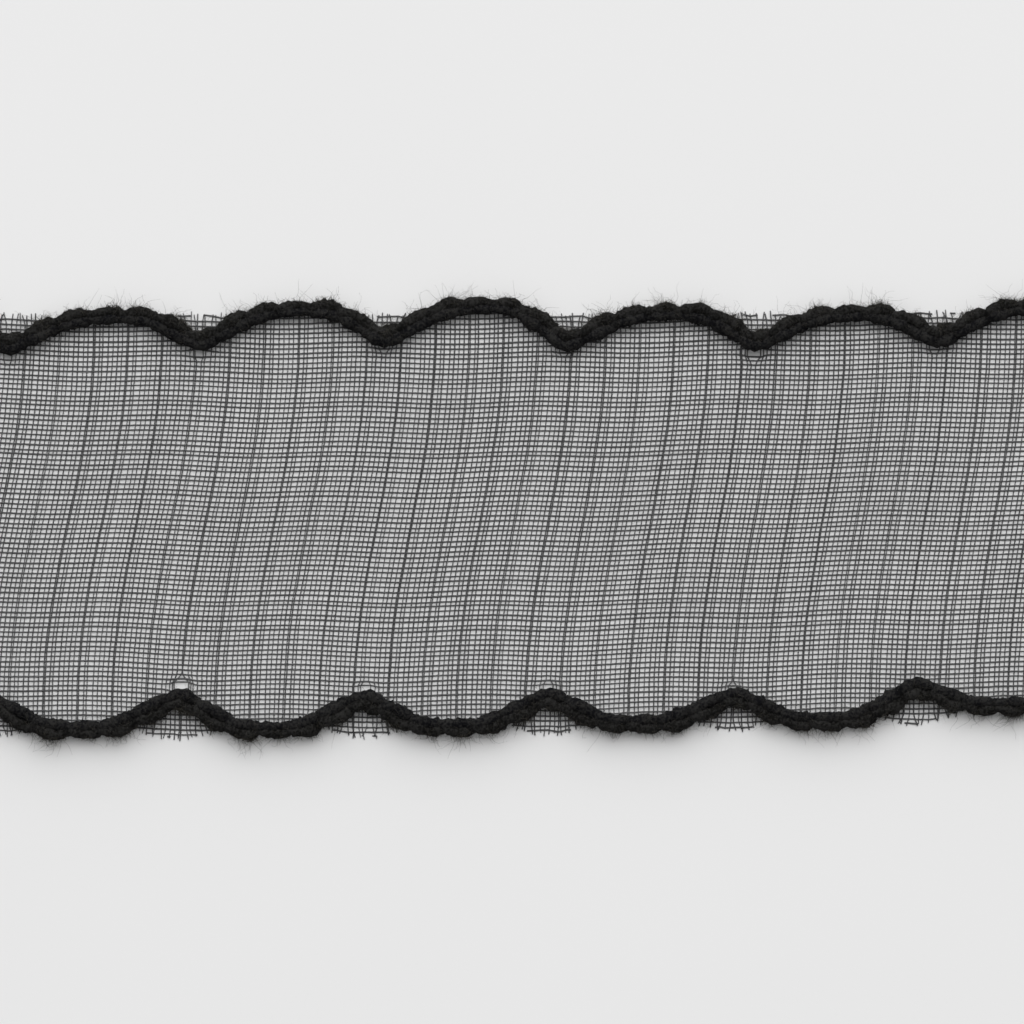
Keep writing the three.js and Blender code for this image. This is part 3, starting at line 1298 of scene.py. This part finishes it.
@dataclass
class Fuzz:
    """Loose fibres that stand off a chain's yarn, thickest on its outer side.

    A fibre's length is drawn around the mean one, and no fibre is longer than the longest or shorter
    than shortest_share of the mean. The three weights say how thickly fibres stand on the outer side,
    on the top and everywhere, and none starts under lowest_root. Tufts lie about tuft_length apart. The
    scatter is that of the first direction. A wobble has wobble_share of the curl, and its sine runs
    through wobble_pace radians. Up and down a fibre bends by upward_share of its curl and wobble.
    Towards the tip the radius shrinks by the taper. No fibre goes lower than the lowest.
    """

    chain: YarnChain
    name: str
    count: int
    mean_length: float
    longest: float
    stations: int
    curl: float
    outer_weight: float
    radius: float
    top_weight: float = 0.3
    base_weight: float = 0.1
    lowest_root: float = 0.35
    tuft_depth: float = 1.0
    tuft_length: float = 2.5
    shortest_share: float = 0.3
    scatter: float = 0.5
    upward_share: float = 0.4
    wobble_share: float = 0.5
    wobble_pace: tuple[float, float] = (4.0, 11.0)
    lowest: float = 0.02
    taper: float = 0.6
    sides: int = 3
    seed: int = 3

    def build(self, material: bpy.types.Material) -> bpy.types.Object:
        """Makes the fibres.

        More of them start on the yarn's outer side, some on its top and few elsewhere, in tufts that
        come and go along the edge. A fibre starts in the yarn's facing direction, scattered a little.
        The direction then turns by a steady curl and by a sine wobble, and the fibre's points are the
        running sum of it.

        Args:
            material: Finish of the fibres.

        Returns:
            The fibres as one piece.
        """
        side = self.chain.edge.side
        draw = np.random.default_rng(self.chain.seed + self.seed)
        points, facing, share = self.chain.surface()
        points, facing = points.reshape(-1, 3), facing.reshape(-1, 3)
        outward = np.maximum(facing[:, 1] * side.value, 0) * np.repeat(share, self.chain.sides) ** 2
        upward = np.maximum(facing[:, 2], 0)
        weight = self.base_weight + self.outer_weight * outward**2 + self.top_weight * upward
        weight *= points[:, 2] > self.lowest_root
        weight *= np.exp(self.tuft_depth * Waves(self.seed + 1, self.tuft_length).line(points[:, 0]))
        root = draw.choice(len(points), self.count, p=weight / weight.sum())
        first = facing[root] + draw.normal(0, self.scatter, (self.count, 3))
        first /= np.linalg.norm(first, axis=1, keepdims=True)
        shortest = self.shortest_share * self.mean_length
        length = np.clip(draw.exponential(self.mean_length, self.count), shortest, self.longest)
        part = np.linspace(0, 1, self.stations)[:, None]
        level = np.array([1, 1, self.upward_share])
        turn = draw.normal(0, self.curl, (self.count, 1, 3)) * part * level
        pace = draw.uniform(*self.wobble_pace, (self.count, 1, 1))
        wobble = draw.normal(0, self.wobble_share * self.curl, (self.count, 1, 3)) * np.sin(part * pace)
        run = first[:, None] + turn + wobble * level
        run /= np.linalg.norm(run, axis=2, keepdims=True)
        run *= length[:, None, None] / (self.stations - 1)
        path = points[root][:, None] + np.cumsum(run, axis=1) - run[:, :1]
        path[..., 2] = np.maximum(path[..., 2], self.lowest)
        left, up = square_frame(path)
        angle = 2 * np.pi * np.arange(self.sides) / self.sides
        ring = left[..., None, :] * np.cos(angle)[:, None] + up[..., None, :] * np.sin(angle)[:, None]
        rings = path[..., None, :] + ring * (self.radius * (1 - self.taper * part)[..., None])
        return Piece(
            name=f"{side.word}_yarn_{self.name}",
            points=rings.reshape(-1, 3),
            patches=tubes(np.ones(path.shape[:2], bool), self.sides),
            material=material,
            slot=Slot.YARN,
            node=side.node,
        ).build()


@dataclass
class Studio:
    """The camera straight above, the pale floor and the soft light from the ribbon's upper side.

    The frame's width, the place of its middle across the ribbon and the sensor's width are millimetres.
    Other lengths are metres, the power is watts and the elevation degrees.
    """

    frame_width: float = 58.88
    frame_middle: float = 0.374
    camera_height: float = 0.6
    sensor_width: float = 36.0
    clip_start: float = 0.01
    floor_size: float = 1.6
    key_power: float = 51.5
    key_size: float = 3.0
    key_distance: float = 1.6
    key_elevation: float = 41.0
    sky: float = 0.3

    def build(self) -> None:
        """Makes the camera, the lights and the floor."""
        self.camera()
        self.light()
        self.floor()
        bpy.context.scene.view_settings.view_transform = "Standard"

    def camera(self) -> None:
        """A long lens straight above, which takes in the photo's part of the ribbon."""
        data = bpy.data.cameras.new("camera")
        data.sensor_width = self.sensor_width
        data.lens = self.sensor_width * self.camera_height / (self.frame_width * MILLIMETRE)
        data.clip_start = self.clip_start
        camera = bpy.data.objects.new("camera", data)
        camera.location = (0, self.frame_middle * MILLIMETRE, self.camera_height)
        bpy.context.scene.collection.objects.link(camera)
        bpy.context.scene.camera = camera

    def light(self) -> None:
        """One large soft light from the upper side, and an even pale sky."""
        data = bpy.data.lights.new("key", "AREA")
        data.shape = "DISK"
        data.size = self.key_size
        data.energy = self.key_power
        key = bpy.data.objects.new("key", data)
        tilt = np.radians(90 - self.key_elevation)
        key.location = (0, self.key_distance * np.sin(tilt), self.key_distance * np.cos(tilt))
        key.rotation_euler = (-tilt, 0, 0)
        bpy.context.scene.collection.objects.link(key)
        world = bpy.data.worlds.new("sky")
        world.use_nodes = True
        background = world.node_tree.nodes["Background"]
        background.inputs["Color"].default_value = (1, 1, 1, 1)
        background.inputs["Strength"].default_value = self.sky
        bpy.context.scene.world = world

    def floor(self) -> None:
        """A plain pale floor at the height on which the ribbon lies."""
        half = self.floor_size / 2
        mesh = bpy.data.meshes.new("floor")
        corners = [(-half, -half, 0), (half, -half, 0), (half, half, 0), (-half, half, 0)]
        mesh.from_pydata(corners, [], [(0, 1, 2, 3)])
        mesh.materials.append(PaperFinish().build())
        floor = bpy.data.objects.new("floor", mesh)
        bpy.context.scene.collection.objects.link(floor)


def main() -> None:
    """Builds the studio and the ribbon, and reports each piece."""
    logging.basicConfig(level=logging.INFO, format="%(message)s")
    Studio().build()
    upper = Edge(
        Side.UPPER,
        UPPER_SCALLOPS,
        rise_share=0.34,
        fall_share=0.28,
        crest_tilt=0.22,
        corner_sharpness=3.0,
        raw_bend=0.4,
        valley_pull=0.064,
    )
    lower = Edge(
        Side.LOWER,
        LOWER_SCALLOPS,
        rise_share=0.3,
        fall_share=0.35,
        crest_tilt=0.0,
        corner_sharpness=4.5,
        raw_bend=1.3,
        valley_pull=0.072,
    )
    pieces = Organza(upper, lower).build(FilamentFinish().build())
    yarn = YarnFinish().build()
    fibre = FuzzFinish().build()
    upper_chain = YarnChain(upper, seed=31, outward_bulge=0.21, inward_bulge=0.17)
    lower_chain = YarnChain(lower, seed=57, outward_bulge=0.22, inward_bulge=0.2)
    for chain in (upper_chain, lower_chain):
        pieces.append(chain.build(yarn))
        down = Fuzz(
            chain,
            name="down",
            count=6600,
            mean_length=0.16,
            longest=0.45,
            stations=3,
            curl=1.1,
            outer_weight=5.0,
            radius=0.01,
        )
        hairs = Fuzz(
            chain,
            name="hairs",
            count=3200,
            mean_length=0.5,
            longest=1.5,
            stations=6,
            curl=2.6,
            outer_weight=9.0,
            radius=0.008,
        )
        pieces += [down.build(fibre), hairs.build(fibre)]
    for piece in pieces:
        triangles = sum(len(face.vertices) - 2 for face in piece.data.polygons)
        LOG.info("%s: %d triangles", piece.name, triangles)


if __name__ == "__main__":
    main()
